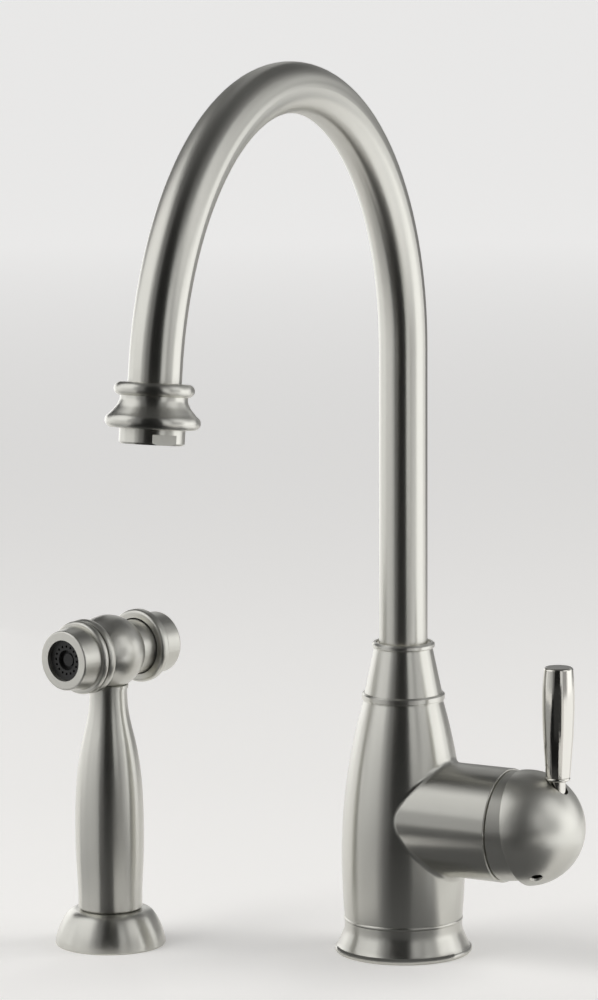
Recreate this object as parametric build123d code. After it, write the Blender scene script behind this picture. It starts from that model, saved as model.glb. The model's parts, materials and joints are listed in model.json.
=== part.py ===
from build123d import *
import os
from math import acos, asin, atan, cos, degrees, pi, radians, sin, sqrt, tan

os.makedirs("parts", exist_ok=True)

# A single-hole kitchen faucet with a gooseneck spout and a ball-and-lever handle on its right,
# and the side spray that stands beside it. Millimetres, +Z up, the origin at the middle of the
# faucet's foot on the deck. The handle points along +X and the spout towards -Y.

# ---------------------------------------------------------------- driving dimensions

# fits and gaps
running_gap = 0.05          # radial play of a turning or sliding fit
free_gap = 0.3              # space between pieces of different bodies
seal_height = 2.0           # rubber rings under the two feet
ring_section = 0.9          # section radius of the O-rings
cut_size = 120.0            # side of the blocks that cut a piece off at a height

# gooseneck spout
tube_radius = 11.1
tube_wall = 1.4
tube_rise = 279.7           # deck to the start of the bend
bend_radius = 124.3
bend_angle = 172.5
tube_tail = 5.0             # straight end of the tube after the bend
spout_swing = 4.3           # the spout stands this far off square to the handle

# turned outlet at the end of the spout, heights measured up its own axis from its mouth
outlet_mouth_radius = 16.0
outlet_bore = 11.9
outlet_floor = 6.4          # lower face of the large ring
large_ring_radius = 19.6
large_ring_height = 9.4
large_ring_section = 3.0
cove_radius = 13.9
cove_height = 18.7
small_ring_radius = 16.55
small_ring_height = 22.4
small_ring_section = 2.75

# aerator in the outlet
aerator_radius = 13.5
aerator_wall = 2.0
aerator_chamfer = 0.8
flat_depth = 1.1            # wrench flats
flat_height = 4.3
flat_angle = 51.0           # the flats face this far round from the spout's line
mesh_rings = 3
mesh_spokes = 12

# foot of the spout, in the body's neck
foot_radius = 12.0
foot_bore = 7.0
foot_bottom = 110.0
foot_flange_radius = 13.6
foot_flange_height = 2.0
thrust_height = 1.5

# main body
body_bottom = 16.4
belly_radius = 28.4
belly_height = 45.0
belly_arc = 262.0           # radius of the long curve above the belly
body_foot_radius = 27.2
body_top = 117.3
neck_top = 126.0
neck_radius = 14.4
shaft_bore = 6.0            # mixed-water bore up to the spout
floor_height = 30.0         # inside floor that the hoses screw into
chamber_radius = 9.0        # diverter chamber
chamber_bottom = 96.0

# neck collar, the cone that screws over the neck and holds the spout down
collar_top = 144.4
collar_bead_radius = 14.4
collar_bead_height = 2.6
collar_cone_top = 13.4
collar_cone_bottom = 17.8
collar_foot_radius = 19.05
collar_foot_height = 3.6
bush_height = 5.0

# foot ring of the body
lip_radius = 31.7
lip_height = 2.3
cove_waist = 27.1
foot_bead_radius = 27.5
foot_bead_height = 1.7

# mounting hardware under the deck
deck_thickness = 12.0       # deck that the hardware is drawn tightened on
shank_radius = 16.0
shank_bore = 13.6
shank_length = 55.0
clamp_radius = 27.0
clamp_height = 1.6
nut_height = 9.0
nut_flats = 46.0            # across the flats
hose_port_radius = 4.6
hose_port_circle = 8.0
hose_port_depth = 12.0

# valve housing; distances along its axis are measured outwards from the handle's pivot
valve_height = 64.0        # housing axis above the deck
pivot_distance = 63.9       # body axis to the pivot, which is also the middle of the ball
housing_radius = 26.1
seam_radius = 3.0           # soft run of the casting from the bell into the housing
mouth = -9.4                # plane of the housing's rounded mouth
mouth_rounding = 0.5
socket_radius = 24.4
socket_foot = -19.0
boss_radius = 19.2
boss_top = -2.0

# fixed bonnet between the mouth and the handle, a ring that narrows a little towards the handle
bonnet_radius = 25.2        # under the ball, nothing of it stands further than this from the pivot
bonnet_edge_radius = 25.3   # at its edge, next to the mouth
bonnet_edge_rounding = 0.3
bonnet_groove = 0.5         # fine groove between the mouth and that edge
bonnet_top_radius = 23.2
bonnet_bore = 21.5
bonnet_top = 7.2

# ceramic cartridge
cartridge_radius = 17.4
cartridge_foot = -31.0
cartridge_shoulder = -1.2
cartridge_neck_radius = 13.0
cartridge_neck_top = 3.6
cartridge_bore = 12.1
base_height = 3.0
disc_height = 4.0
rotor_top = 3.2
rotor_neck_radius = 10.0
rotor_foot = -12.0
stem_size = 6.0
stem_top = 18.0
slot_length = 14.0
pin_radius = 1.2
moving_disc_radius = 9.2
moving_disc_top = -12.6
disc_pocket_radius = 3.3
stem_tip_radius = 2.3
stem_tip_end = -16.5
port_radius = 2.6
nut_radius = 21.2
nut_bottom = -9.6
nut_top = 1.6

# ball handle and lever
closed_tilt = 9.0           # the handle looks up by this much while the water is off
ball_radius = 26.4
ball_bore = bonnet_radius + free_gap
ball_rim = -0.4              # plane of the rim, out from the middle of the ball
ball_rim_rounding = 0.35
cavity_top = 12.5
hub_radius = 10.0
hub_foot = 6.2
lever_distance = 79.2       # lever axis from the body axis
lever_rise = 75.3           # top of the lever over the housing's axis
lever_foot_rise = 25.0
lever_seat_rise = 16.4
stud_rise = 10.9
lever_top = valve_height + lever_rise
lever_top_radius = 6.75
lever_belly_radius = 7.35
lever_foot_radius = 5.5
lever_foot = valve_height + lever_foot_rise
lever_bead_radius = 5.6
lever_bead_height = 1.7
lever_neck_radius = 3.5
lever_hole_radius = 4.6
lever_scallop_depth = 0.3     # below the lever's bead, where the ball would touch it
lever_seat = valve_height + lever_seat_rise
stud_radius = 3.0
stud_end = valve_height + stud_rise
grub_radius = 2.0
grub_length = 6.5
grub_height = 8.6           # along the handle's axis from the pivot
grub_angle = 147.0          # round from straight up, towards the spout
grub_access_radius = 2.3
grub_sink_slope = 0.5       # the hole's mouth is countersunk

# side spray: where it stands, and its holder
spray_x = -126.0
spray_y = -53.2
holder_top = 16.5
holder_radius = 25.6
holder_shoulder = 16.4
holder_bore = 12.0
holder_shank_radius = 14.0
holder_shank_bore = 11.8
holder_shank_length = 42.0
guide_radius = 11.4
guide_bottom = 5.0
holder_nut_flats = 40.0
holder_clamp_radius = 22.0

# spray grip
grip_foot_radius = 14.8
grip_belly_radius = 15.9
grip_top_radius = 8.7
grip_bore = 5.0
grip_wall = 3.3
spigot_radius = 11.0
spigot_length = 9.0
hose_stub_radius = 6.0
hose_thread_radius = 5.4
hose_thread_top = 0.0
hose_stub_bore = 3.6
hose_stub_bottom = -12.0
hose_swivel_radius = 8.0
hose_swivel_top = 24.0

# spray head: distances along its own axis, forwards from the middle of its ball
head_height = 137.3
head_swing = 9.9           # the head points this far off the -Y direction
head_ball_radius = 17.2
head_bead_radius = 17.2
head_bead_back = 12.9
head_bead_front = 16.9
head_neck_radius = 12.6
head_neck_back = -21.0
head_step_radius = 13.0
head_step = -10.8
head_bore = 9.0
spring_bore = 10.6
bulkhead_front = -4.0
bulkhead_back = -8.0
stub_radius = 11.8
stub_front = 24.0
neck_ring_radius = 9.3
neck_ring_height = 1.5
head_spigot_radius = 7.0
head_spigot_depth = 8.6       # down into the grip
head_rise = 16.7            # top of the grip to the head's axis

# nozzle and spray face
nozzle_flange_radius = 16.95
nozzle_flange_back = 17.4
nozzle_flange_front = 20.9
nozzle_root_radius = 14.8
nozzle_tip_radius = 13.75
nozzle_front = 30.7
nozzle_mouth_radius = 9.5
face_back = 24.6
face_front = 28.4
spray_hole_count = 16
spray_hole_radius = 0.58
spray_hole_circle = 6.35
well_radius = 4.65
well_depth = 2.4
well_boss_radius = 2.9
well_boss_height = 1.2

# push button at the back of the head, and its valve
button_front = -19.4
button_back = -35.5
button_travel = 5.0
button_flange_radius = 17.05
button_flange_depth = 4.6
button_radius = 14.2
button_wall = 1.0
rod_radius = 2.0
spool_radius = 4.0
valve_seat_back = 7.0
valve_seat_front = 11.0
spring_wire = 1.0
spring_radius = 6.4
spring_turns = 6

# ---------------------------------------------------------------- worked-out places

bend_end_y = -bend_radius * (1 - cos(radians(bend_angle)))
bend_end_z = tube_rise + bend_radius * sin(radians(bend_angle))
tail_y = -sin(radians(bend_angle))
tail_z = cos(radians(bend_angle))
outlet_length = small_ring_height + small_ring_section
mouth_y = bend_end_y + tail_y * (tube_tail + outlet_length)
mouth_z = bend_end_z + tail_z * (tube_tail + outlet_length)
to_outlet = Pos(0, mouth_y, mouth_z) * Rot(bend_angle - 180, 0, 0)
to_spout = Rot(0, 0, spout_swing)

to_valve = Pos(pivot_distance, 0, valve_height) * Rot(0, 90, 0)
to_handle = to_valve * Rot(0, -closed_tilt, 0)
disc_offset = (moving_disc_top - disc_height / 2) * -sin(radians(closed_tilt))
to_lever = Pos(lever_distance, 0, 0)
to_wand = Pos(spray_x, spray_y, 0)
to_head = Pos(spray_x, spray_y, head_height) * Rot(0, 0, -head_swing) * Rot(90, 0, 0)

grip_top = head_height - head_rise
head_spigot_bottom = grip_top - head_spigot_depth
tube_bottom = neck_top + thrust_height + foot_flange_height
collar_shelf = tube_bottom + thrust_height
button_floor = button_back + 3.6


# ---------------------------------------------------------------- helpers

def at(radius, height):
    return (radius, 0, height)


def turned(*lines):
    """Revolves a closed half-section, drawn at y = 0, about the Z axis."""
    outline = []
    for line in lines:
        outline += line.edges()
    return revolve(make_face(outline), Axis.Z)


def ring(outer, inner, bottom, top):
    """A plain ring or bush about the Z axis."""
    return turned(Polyline(at(inner, bottom), at(outer, bottom), at(outer, top), at(inner, top), close=True))


def rod(radius, bottom, top):
    """A plain round bar about the Z axis."""
    return Pos(0, 0, bottom) * Cylinder(radius, top - bottom, align=(Align.CENTER, Align.CENTER, Align.MIN))


def ball(radius, height=0.0):
    return Pos(0, 0, height) * Sphere(radius)


def above(height, size=cut_size):
    """A large block whose lower face is at the given height."""
    return Pos(0, 0, height) * Box(size, size, size, align=(Align.CENTER, Align.CENTER, Align.MIN))


def below(height, size=cut_size):
    return Pos(0, 0, height) * Box(size, size, size, align=(Align.CENTER, Align.CENTER, Align.MAX))


def o_ring(radius, section, height):
    return Pos(0, 0, height) * Torus(radius, section)


def square_bar(bottom, top):
    height = top - bottom
    return Pos(0, 0, bottom) * Box(stem_size, stem_size, height, align=(Align.CENTER, Align.CENTER, Align.MIN))


def hex_nut(flats, hole, bottom, top):
    """A hexagon nut about the Z axis, its corners turned down."""
    corner = flats / 2 / cos(radians(30))
    blank = extrude(Pos(0, 0, bottom) * RegularPolygon(corner, 6), top - bottom)
    cone_rise = tan(radians(30))
    edge = flats / 2
    reach = corner - edge
    lens = turned(Polyline(
        at(0, bottom), at(edge, bottom), at(corner, bottom + reach * cone_rise),
        at(corner, top - reach * cone_rise), at(edge, top), at(0, top), close=True))
    return (blank & lens) - rod(hole, bottom - 1, top + 1)


def save(name, shape):
    export_step(shape, f"parts/{name}.step")


# ---------------------------------------------------------------- spout

def spout_path(start):
    """Centre line of the gooseneck, from the given height up, over and down to the outlet."""
    rise = Line((0, 0, start), (0, 0, tube_rise))
    half = radians(bend_angle / 2)
    crown = (0, -bend_radius * (1 - cos(half)), tube_rise + bend_radius * sin(half))
    bend = ThreePointArc((0, 0, tube_rise), crown, (0, bend_end_y, bend_end_z))
    tail_end = (0, bend_end_y + tail_y * tube_tail, bend_end_z + tail_z * tube_tail)
    tail = Line((0, bend_end_y, bend_end_z), tail_end)
    return Wire([rise, bend, tail])


def spout_tube():
    path = spout_path(tube_bottom)
    section = Circle(tube_radius) - Circle(tube_radius - tube_wall)
    return to_spout * sweep(Pos(0, 0, tube_bottom) * section, path)


def spout_foot():
    """Turned brass foot: it plugs the tube, carries the seals and turns in the body's neck."""
    journal = foot_radius - running_gap
    body = ring(journal, foot_bore, foot_bottom, tube_bottom)
    flange = ring(foot_flange_radius, foot_bore, neck_top + thrust_height + running_gap, tube_bottom)
    plug = ring(tube_radius - tube_wall, foot_bore, tube_bottom, tube_bottom + 11)
    foot = body + flange + plug
    for height in seal_heights():
        foot -= ring(journal + 1, journal - 2 * ring_section, height - ring_section, height + ring_section)
    return to_spout * foot


def seal_heights():
    span = neck_top - foot_bottom
    return [foot_bottom + span * 0.28, foot_bottom + span * 0.62]


def spout_seals():
    seals = [o_ring(foot_radius - running_gap - ring_section, ring_section, z) for z in seal_heights()]
    return to_spout * Compound(children=seals)


def outlet_body():
    """Turned outlet: a large ring, a deep cove and a small ring, bored through for the aerator."""
    large = large_ring_section
    small = small_ring_section
    top = outlet_length
    shoulder = at(large_ring_radius - large * 0.45, large_ring_height + large * 0.835)
    outline = [
        Polyline(at(outlet_bore, outlet_floor), at(large_ring_radius - large, outlet_floor)),
        ThreePointArc(at(large_ring_radius - large, outlet_floor),
                      at(large_ring_radius, large_ring_height), shoulder),
        Spline(shoulder, at(16.5, 13.8), at(15.3, 15.2), at(14.25, 17.2), at(cove_radius, cove_height),
               tangents=[(-1, 0, 0.8), (0, 0, 1)]),
        Polyline(at(cove_radius, cove_height), at(cove_radius, small_ring_height - small),
                 at(small_ring_radius - small, small_ring_height - small)),
        ThreePointArc(at(small_ring_radius - small, small_ring_height - small),
                      at(small_ring_radius, small_ring_height),
                      at(small_ring_radius - small, top)),
        Polyline(at(small_ring_radius - small, top), at(tube_radius - tube_wall, top),
                 at(tube_radius - tube_wall, cove_height - 4), at(outlet_bore, cove_height - 6),
                 at(outlet_bore, outlet_floor)),
    ]
    return to_spout * to_outlet * turned(*outline)


def aerator_shell():
    """Sleeve that screws into the outlet, with two wrench flats."""
    inner = aerator_radius - aerator_wall
    chamfer = aerator_chamfer
    skirt = turned(Polyline(
        at(inner, 0), at(aerator_radius - chamfer, 0), at(aerator_radius, chamfer),
        at(aerator_radius, outlet_floor), at(outlet_bore, outlet_floor),
        at(outlet_bore, outlet_floor + 5), at(outlet_bore - 1.3, outlet_floor + 5),
        at(outlet_bore - 1.3, 3.4), at(inner, 3.4), close=True))
    cutter = Pos(aerator_radius - flat_depth, 0, 0) * Box(
        10, 3 * aerator_radius, flat_height, align=(Align.MIN, Align.CENTER, Align.MIN))
    low = Pos(0, 0, -1) * cutter
    for turn in (0, 180):
        skirt -= Rot(0, 0, flat_angle - 90 + turn) * (cutter + low)
    return to_spout * to_outlet * skirt


def aerator_insert():
    """Plastic flow straightener: rings and spokes inside a rim."""
    rim_radius = aerator_radius - aerator_wall
    bottom = 0.8
    top = 3.4
    insert = ring(rim_radius, rim_radius - 1.0, bottom, top)
    spoke = Pos(rim_radius / 2, 0, bottom) * Box(
        rim_radius - 0.6, 0.6, top - bottom, align=(Align.CENTER, Align.CENTER, Align.MIN))
    for i in range(mesh_rings):
        radius = (rim_radius - 1.0) * (i + 1) / (mesh_rings + 1)
        insert += ring(radius + 0.3, radius - 0.3, bottom, top)
    for i in range(mesh_spokes):
        insert += Rot(0, 0, 360 * i / mesh_spokes) * spoke
    return to_spout * to_outlet * (insert + rod(1.4, bottom, top))


def aerator_washer():
    bottom = outlet_floor + 5
    return to_spout * to_outlet * ring(outlet_bore - 0.1, outlet_bore - 3.0, bottom, bottom + 1.2)


# ---------------------------------------------------------------- body

def belly(height):
    """Radius of the body's long curve at a height above the belly."""
    return belly_radius - (belly_arc - sqrt(belly_arc ** 2 - (height - belly_height) ** 2))


def body_outline():
    middle = (belly_height + body_top) / 2
    low = (body_bottom + belly_height) / 2
    swell = belly_radius - (belly_radius - body_foot_radius) * 0.25
    return turned(
        Line(at(0, body_bottom), at(body_foot_radius, body_bottom)),
        ThreePointArc(at(body_foot_radius, body_bottom), at(swell, low), at(belly_radius, belly_height)),
        ThreePointArc(at(belly_radius, belly_height), at(belly(middle), middle), at(belly(body_top), body_top)),
        Polyline(at(belly(body_top), body_top), at(neck_radius, body_top), at(neck_radius, neck_top),
                 at(0, neck_top), at(0, body_bottom)))


def valve_ports():
    """Places of the hot, cold and mixed ports on the cartridge's foot, across the valve axis."""
    return {"hot": (5.0, -6.5), "cold": (5.0, 6.5), "mixed": (-7.5, 0.0)}


def hose_ports():
    """Places of the hot, cold and spray hose ports in the body's floor."""
    places = {}
    for name, turn in (("cold", 60), ("spray", 180), ("hot", -60)):
        angle = radians(turn)
        places[name] = (hose_port_circle * cos(angle), hose_port_circle * sin(angle))
    return places


def body_shell():
    """The cast body: a tapered bell with the valve housing standing out of its side."""
    edge = mouth_rounding
    corner = edge * (1 - cos(radians(45)))
    barrel = turned(
        Polyline(at(0, -pivot_distance), at(housing_radius, -pivot_distance), at(housing_radius, mouth - edge)),
        ThreePointArc(at(housing_radius, mouth - edge), at(housing_radius - corner, mouth - corner),
                      at(housing_radius - edge, mouth)),
        Polyline(at(housing_radius - edge, mouth), at(0, mouth), at(0, -pivot_distance)))
    body = body_outline() + to_valve * barrel

    # the casting runs softly from the bell into the housing
    seam = body.edges().filter_by(lambda e: e.geom_type not in (GeomType.LINE, GeomType.CIRCLE))
    body = fillet(seam, seam_radius)

    # socket for the bonnet, and the bored boss that the cartridge and its nut sit in
    body -= to_valve * rod(socket_radius, socket_foot, mouth + 1)
    body += to_valve * rod(boss_radius, socket_foot - 1, boss_top)
    body -= to_valve * rod(cartridge_radius + running_gap, cartridge_foot, boss_top + 1)

    # waterways: two inlets to the cartridge, mixed water up to the spout, and down to the spray
    hoses = hose_ports()
    for side in ("hot", "cold"):
        x, y = hoses[side]
        port_x, port_y = valve_ports()[side]
        body -= Pos(x, y, 0) * rod(port_radius, floor_height, valve_height)
        run = Pos(port_x, port_y, 0) * rod(port_radius, x - 1 - pivot_distance, cartridge_foot + 1)
        body -= to_valve * run
    mixed_x, mixed_y = valve_ports()["mixed"]
    body -= to_valve * Pos(mixed_x, mixed_y, 0) * rod(port_radius, -pivot_distance - 1, cartridge_foot + 1)
    body -= rod(shaft_bore - 1, valve_height + 4, chamber_bottom + 1)
    spray_port_x = hoses["spray"][0] - 1.5
    body -= Pos(spray_port_x, 0, 0) * rod(port_radius, floor_height, chamber_bottom + 3)

    # diverter chamber and the neck that the spout turns in
    body -= rod(chamber_radius, chamber_bottom, foot_bottom)
    body -= rod(foot_radius, foot_bottom - 2, neck_top + 1)

    # shank socket and hose ports
    body -= rod(shank_radius, body_bottom - 1, floor_height)
    for x, y in hoses.values():
        body -= Pos(x, y, 0) * rod(hose_port_radius, floor_height - 1, floor_height + hose_port_depth)
    return body


def neck_collar():
    """Bonnet nut over the neck: a cone between two fine beads."""
    bead = collar_top - collar_bead_height
    foot = body_top + collar_foot_height
    bore = tube_radius + free_gap
    bush_seat = bush_radius()
    return turned(
        Polyline(at(neck_radius, body_top), at(collar_foot_radius - 0.5, body_top),
                 at(collar_foot_radius - 0.5, body_top + 0.6), at(collar_foot_radius, body_top + 0.9),
                 at(collar_foot_radius, foot - 0.7), at(collar_foot_radius - 0.7, foot),
                 at(collar_cone_bottom, foot), at(collar_cone_top, bead),
                 at(collar_bead_radius - 0.4, bead), at(collar_bead_radius, bead + 0.5),
                 at(collar_bead_radius, collar_top - 0.8), at(collar_bead_radius - 0.8, collar_top),
                 at(bush_seat, collar_top), at(bush_seat, collar_top - bush_height),
                 at(bore, collar_top - bush_height), at(bore, collar_shelf),
                 at(neck_radius, collar_shelf), at(neck_radius, body_top)))


def bush_radius():
    return tube_radius + 1.5


def collar_bush():
    """Plastic ring that steadies the tube in the collar's mouth."""
    return ring(bush_radius(), tube_radius + running_gap, collar_top - bush_height, collar_top - 0.6)


def thrust_washer(bottom):
    return ring(neck_radius - 0.4, foot_radius, bottom, bottom + thrust_height)


def upper_thrust_washer():
    return ring(neck_radius - 0.4, tube_radius + free_gap, tube_bottom + running_gap, collar_shelf)


def base_ring():
    """Flared foot ring: a fine bead, a cove and a rounded lip on the deck."""
    bead = body_bottom - foot_bead_height
    inner = shank_radius + free_gap
    seal_wide = lip_radius - 4.0
    seal_narrow = seal_wide - 4.5
    half_bead = foot_bead_height / 2
    outline = [
        Polyline(at(inner, 4.0), at(seal_narrow, 4.0), at(seal_narrow, seal_height),
                 at(seal_wide, seal_height), at(seal_wide, 0), at(lip_radius - 0.8, 0)),
        ThreePointArc(at(lip_radius - 0.8, 0), at(lip_radius, lip_height * 0.45), at(lip_radius - 0.5, lip_height)),
        Line(at(lip_radius - 0.5, lip_height), at(lip_radius - 0.9, lip_height + 0.2)),
        Spline(at(lip_radius - 0.9, lip_height + 0.2), at(28.9, 6.4), at(cove_waist + 0.25, 10.4),
               at(cove_waist, bead), tangents=[(-0.8, 0, 1), (-0.02, 0, 1)]),
        ThreePointArc(at(cove_waist, bead), at(foot_bead_radius, bead + half_bead), at(cove_waist, body_bottom)),
        Polyline(at(cove_waist, body_bottom), at(inner, body_bottom), at(inner, 4.0)),
    ]
    return turned(*outline)


def base_seal():
    outer = lip_radius - 4.0
    return ring(outer, outer - 4.5, 0, seal_height)


# ---------------------------------------------------------------- mounting hardware

def mounting_shank():
    shank = ring(shank_radius, shank_bore, -shank_length, floor_height)
    return chamfer(shank.edges().filter_by(GeomType.CIRCLE).group_by(Axis.Z)[0].sort_by(SortBy.RADIUS)[-1], 1.0)


def deck_washer():
    top = -deck_thickness
    return ring(clamp_radius, shank_radius + free_gap, top - 3.0, top)


def clamp_washer():
    top = -deck_thickness - 3.0
    return ring(clamp_radius - 0.5, shank_radius + free_gap, top - clamp_height, top)


def lock_nut():
    top = -deck_thickness - 3.0 - clamp_height
    return hex_nut(nut_flats, shank_radius, top - nut_height, top)


# ---------------------------------------------------------------- diverter in the body's neck

def diverter_body():
    """Cage in the chamber under the spout, with windows to the spray port."""
    outer = chamber_radius - running_gap
    cage = ring(outer, 6.1, chamber_bottom, foot_bottom - 4)
    window = Pos(0, 0, chamber_bottom + 1) * Box(40, 3.2, 2.6, align=(Align.CENTER, Align.CENTER, Align.MIN))
    return cage - window


def diverter_piston():
    """Piston that lifts while water runs to the spout and drops when the spray is pressed."""
    bottom = chamber_bottom + 0.4
    head = rod(6.1 - running_gap, bottom, bottom + 2.0)
    stem = rod(2.2, bottom + 2.0, bottom + 6.0)
    top = ring(4.4, 2.2, bottom + 4.6, bottom + 6.0)
    return head + stem + top


def diverter_seal():
    bottom = chamber_bottom + 2.4
    return ring(5.4, 2.2, bottom, bottom + 1.2)


# ---------------------------------------------------------------- cartridge

def cartridge_body():
    """Moulded case of the cartridge: barrel, shoulder and neck."""
    floor = cartridge_foot + base_height
    case = turned(Polyline(
        at(cartridge_bore, floor), at(cartridge_radius, floor), at(cartridge_radius, cartridge_shoulder),
        at(cartridge_neck_radius, cartridge_shoulder), at(cartridge_neck_radius, cartridge_neck_top),
        at(rotor_neck_radius + running_gap, cartridge_neck_top),
        at(rotor_neck_radius + running_gap, cartridge_shoulder - 0.8),
        at(cartridge_bore, cartridge_shoulder - 0.8), close=True))
    return to_valve * case


def port_pattern(radius, bottom, top):
    return [Pos(x, y, 0) * rod(radius, bottom, top) for x, y in valve_ports().values()]


def cartridge_base():
    floor = cartridge_foot + base_height
    base = rod(cartridge_radius, cartridge_foot, floor) + rod(cartridge_bore, floor, floor + 2)
    for hole in port_pattern(port_radius, cartridge_foot - 1, floor + 3):
        base -= hole
    for seat in port_pattern(port_radius + 1.5, cartridge_foot - 1, cartridge_foot + 1):
        base -= seat
    return to_valve * base


def port_seals():
    rings = []
    for x, y in valve_ports().values():
        rings.append(Pos(x, y, 0) * ring(port_radius + 1.5, port_radius, cartridge_foot, cartridge_foot + 1))
    return to_valve * Compound(children=rings)


def fixed_disc():
    floor = cartridge_foot + base_height + 2
    disc = rod(cartridge_bore - 0.1, floor, floor + disc_height)
    for hole in port_pattern(port_radius, floor - 1, floor + disc_height + 1):
        disc -= hole
    return to_valve * disc


def moving_disc():
    """Upper ceramic disc with its driver: it slides across the fixed disc and turns on it."""
    floor = cartridge_foot + base_height + 2 + disc_height + running_gap
    disc = rod(moving_disc_radius, floor, moving_disc_top)
    disc -= rod(disc_pocket_radius, moving_disc_top - 5.2, moving_disc_top + 1)
    channel = Pos(-1, 0, floor) * Box(9, 7, 1.6, align=(Align.CENTER, Align.CENTER, Align.MIN))
    return to_valve * Pos(disc_offset, 0, 0) * (disc - channel)


def cartridge_rotor():
    """Carrier that turns with the handle: the stem rocks in its slot on a cross pin."""
    rotor = rod(cartridge_bore - running_gap, rotor_foot, cartridge_shoulder - 0.8 - running_gap)
    rotor += rod(rotor_neck_radius, rotor_foot, rotor_top)
    slot = Pos(0, 0, rotor_foot - 1) * Box(
        slot_length, stem_size + 2 * free_gap, 30, align=(Align.CENTER, Align.CENTER, Align.MIN))
    rotor -= slot
    rotor -= Rot(90, 0, 0) * rod(pin_radius, -20, 20)
    return to_valve * rotor


def pivot_pin():
    half = rotor_neck_radius - 0.6
    return to_valve * Rot(90, 0, 0) * rod(pin_radius, -half, half)


def cartridge_stem():
    """Square stem, its head turned to face the grub screw, with a round tip that pushes the disc."""
    start = moving_disc_top + 1.4
    stem = square_bar(start, hub_foot) + rod(stem_tip_radius, stem_tip_end, start)
    stem += Rot(0, 0, grub_angle - 180) * square_bar(hub_foot, stem_top)
    stem -= Rot(90, 0, 0) * rod(pin_radius + running_gap, -20, 20)
    return to_handle * stem


def cartridge_nut():
    """Cap nut that holds the cartridge down on its seat."""
    nut = turned(Polyline(
        at(boss_radius, nut_bottom), at(nut_radius, nut_bottom), at(nut_radius, nut_top - 0.6),
        at(nut_radius - 0.6, nut_top), at(cartridge_neck_radius + 0.2, nut_top),
        at(cartridge_neck_radius + 0.2, cartridge_shoulder), at(boss_radius, cartridge_shoulder), close=True))
    return to_valve * nut


# ---------------------------------------------------------------- handle

def bonnet():
    """Fixed ring, screwed into the mouth, that the handle's ball rocks over."""
    edge = bonnet_edge_rounding
    corner = edge * 0.29
    wide = bonnet_edge_radius
    start = mouth + bonnet_groove
    ring_shape = turned(
        Polyline(at(bonnet_bore, socket_foot), at(socket_radius, socket_foot), at(socket_radius, start),
                 at(wide - edge, start)),
        ThreePointArc(at(wide - edge, start), at(wide - corner, start + corner), at(wide, start + edge)),
        Polyline(at(wide, start + edge), at(bonnet_top_radius, bonnet_top),
                 at(bonnet_bore, bonnet_top), at(bonnet_bore, socket_foot)))
    return to_valve * ring_shape


def handle_ball():
    """Ball-shaped cap, open towards the valve, with a hub that holds the stem."""
    rim = ball_rim
    edge = ball_rim_rounding
    outer = sqrt(ball_radius ** 2 - (rim + edge) ** 2)
    inner = sqrt(ball_bore ** 2 - rim ** 2)
    roof = sqrt(ball_bore ** 2 - cavity_top ** 2)
    halfway = radians(45)
    cap = turned(
        Polyline(at(inner, rim), at(outer - edge, rim)),
        ThreePointArc(at(outer - edge, rim), at(outer - edge * 0.29, rim + edge * 0.29), at(outer, rim + edge)),
        ThreePointArc(at(outer, rim + edge), at(ball_radius * cos(halfway), ball_radius * sin(halfway)),
                      at(0, ball_radius)),
        Polyline(at(0, ball_radius), at(0, hub_foot), at(hub_radius, hub_foot), at(hub_radius, cavity_top),
                 at(roof, cavity_top)),
        ThreePointArc(at(roof, cavity_top), at(ball_bore * cos(radians(15)), ball_bore * sin(radians(15))),
                      at(inner, rim)))
    cap -= Rot(0, 0, grub_angle - 180) * square_bar(hub_foot - 1, stem_top + 0.5)
    cap -= grub_axis() * rod(grub_radius, stem_size / 2, hub_radius + 1)
    cap -= grub_axis() * rod(grub_access_radius, hub_radius + 1, ball_radius + 2)
    sink_foot = sqrt(ball_radius ** 2 - (grub_height + grub_access_radius) ** 2) - 0.2
    sink = Cone(grub_access_radius, grub_access_radius + 2 * grub_sink_slope, 2,
                align=(Align.CENTER, Align.CENTER, Align.MIN))
    cap -= grub_axis() * Pos(0, 0, sink_foot) * sink
    bead = lever_foot - lever_bead_height
    handle = to_handle * cap
    handle -= to_lever * rod(lever_hole_radius, lever_seat, lever_top)
    handle -= to_lever * rod(stud_radius, stud_end - 1, lever_seat)
    handle -= to_lever * rod(lever_bead_radius + 0.25, bead - lever_scallop_depth, lever_top)
    return handle


def grub_axis():
    """Turns a bar about the Z axis into the grub screw's line, in the handle's own frame."""
    return Pos(0, 0, grub_height) * Rot(0, 0, grub_angle - 180) * Rot(0, 90, 0)


def set_screw():
    start = stem_size / 2
    screw = rod(grub_radius, start, start + grub_length)
    socket = extrude(Pos(0, 0, start + grub_length - 3) * RegularPolygon(1.45, 6), 4)
    return to_handle * grub_axis() * (screw - socket)


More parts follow.
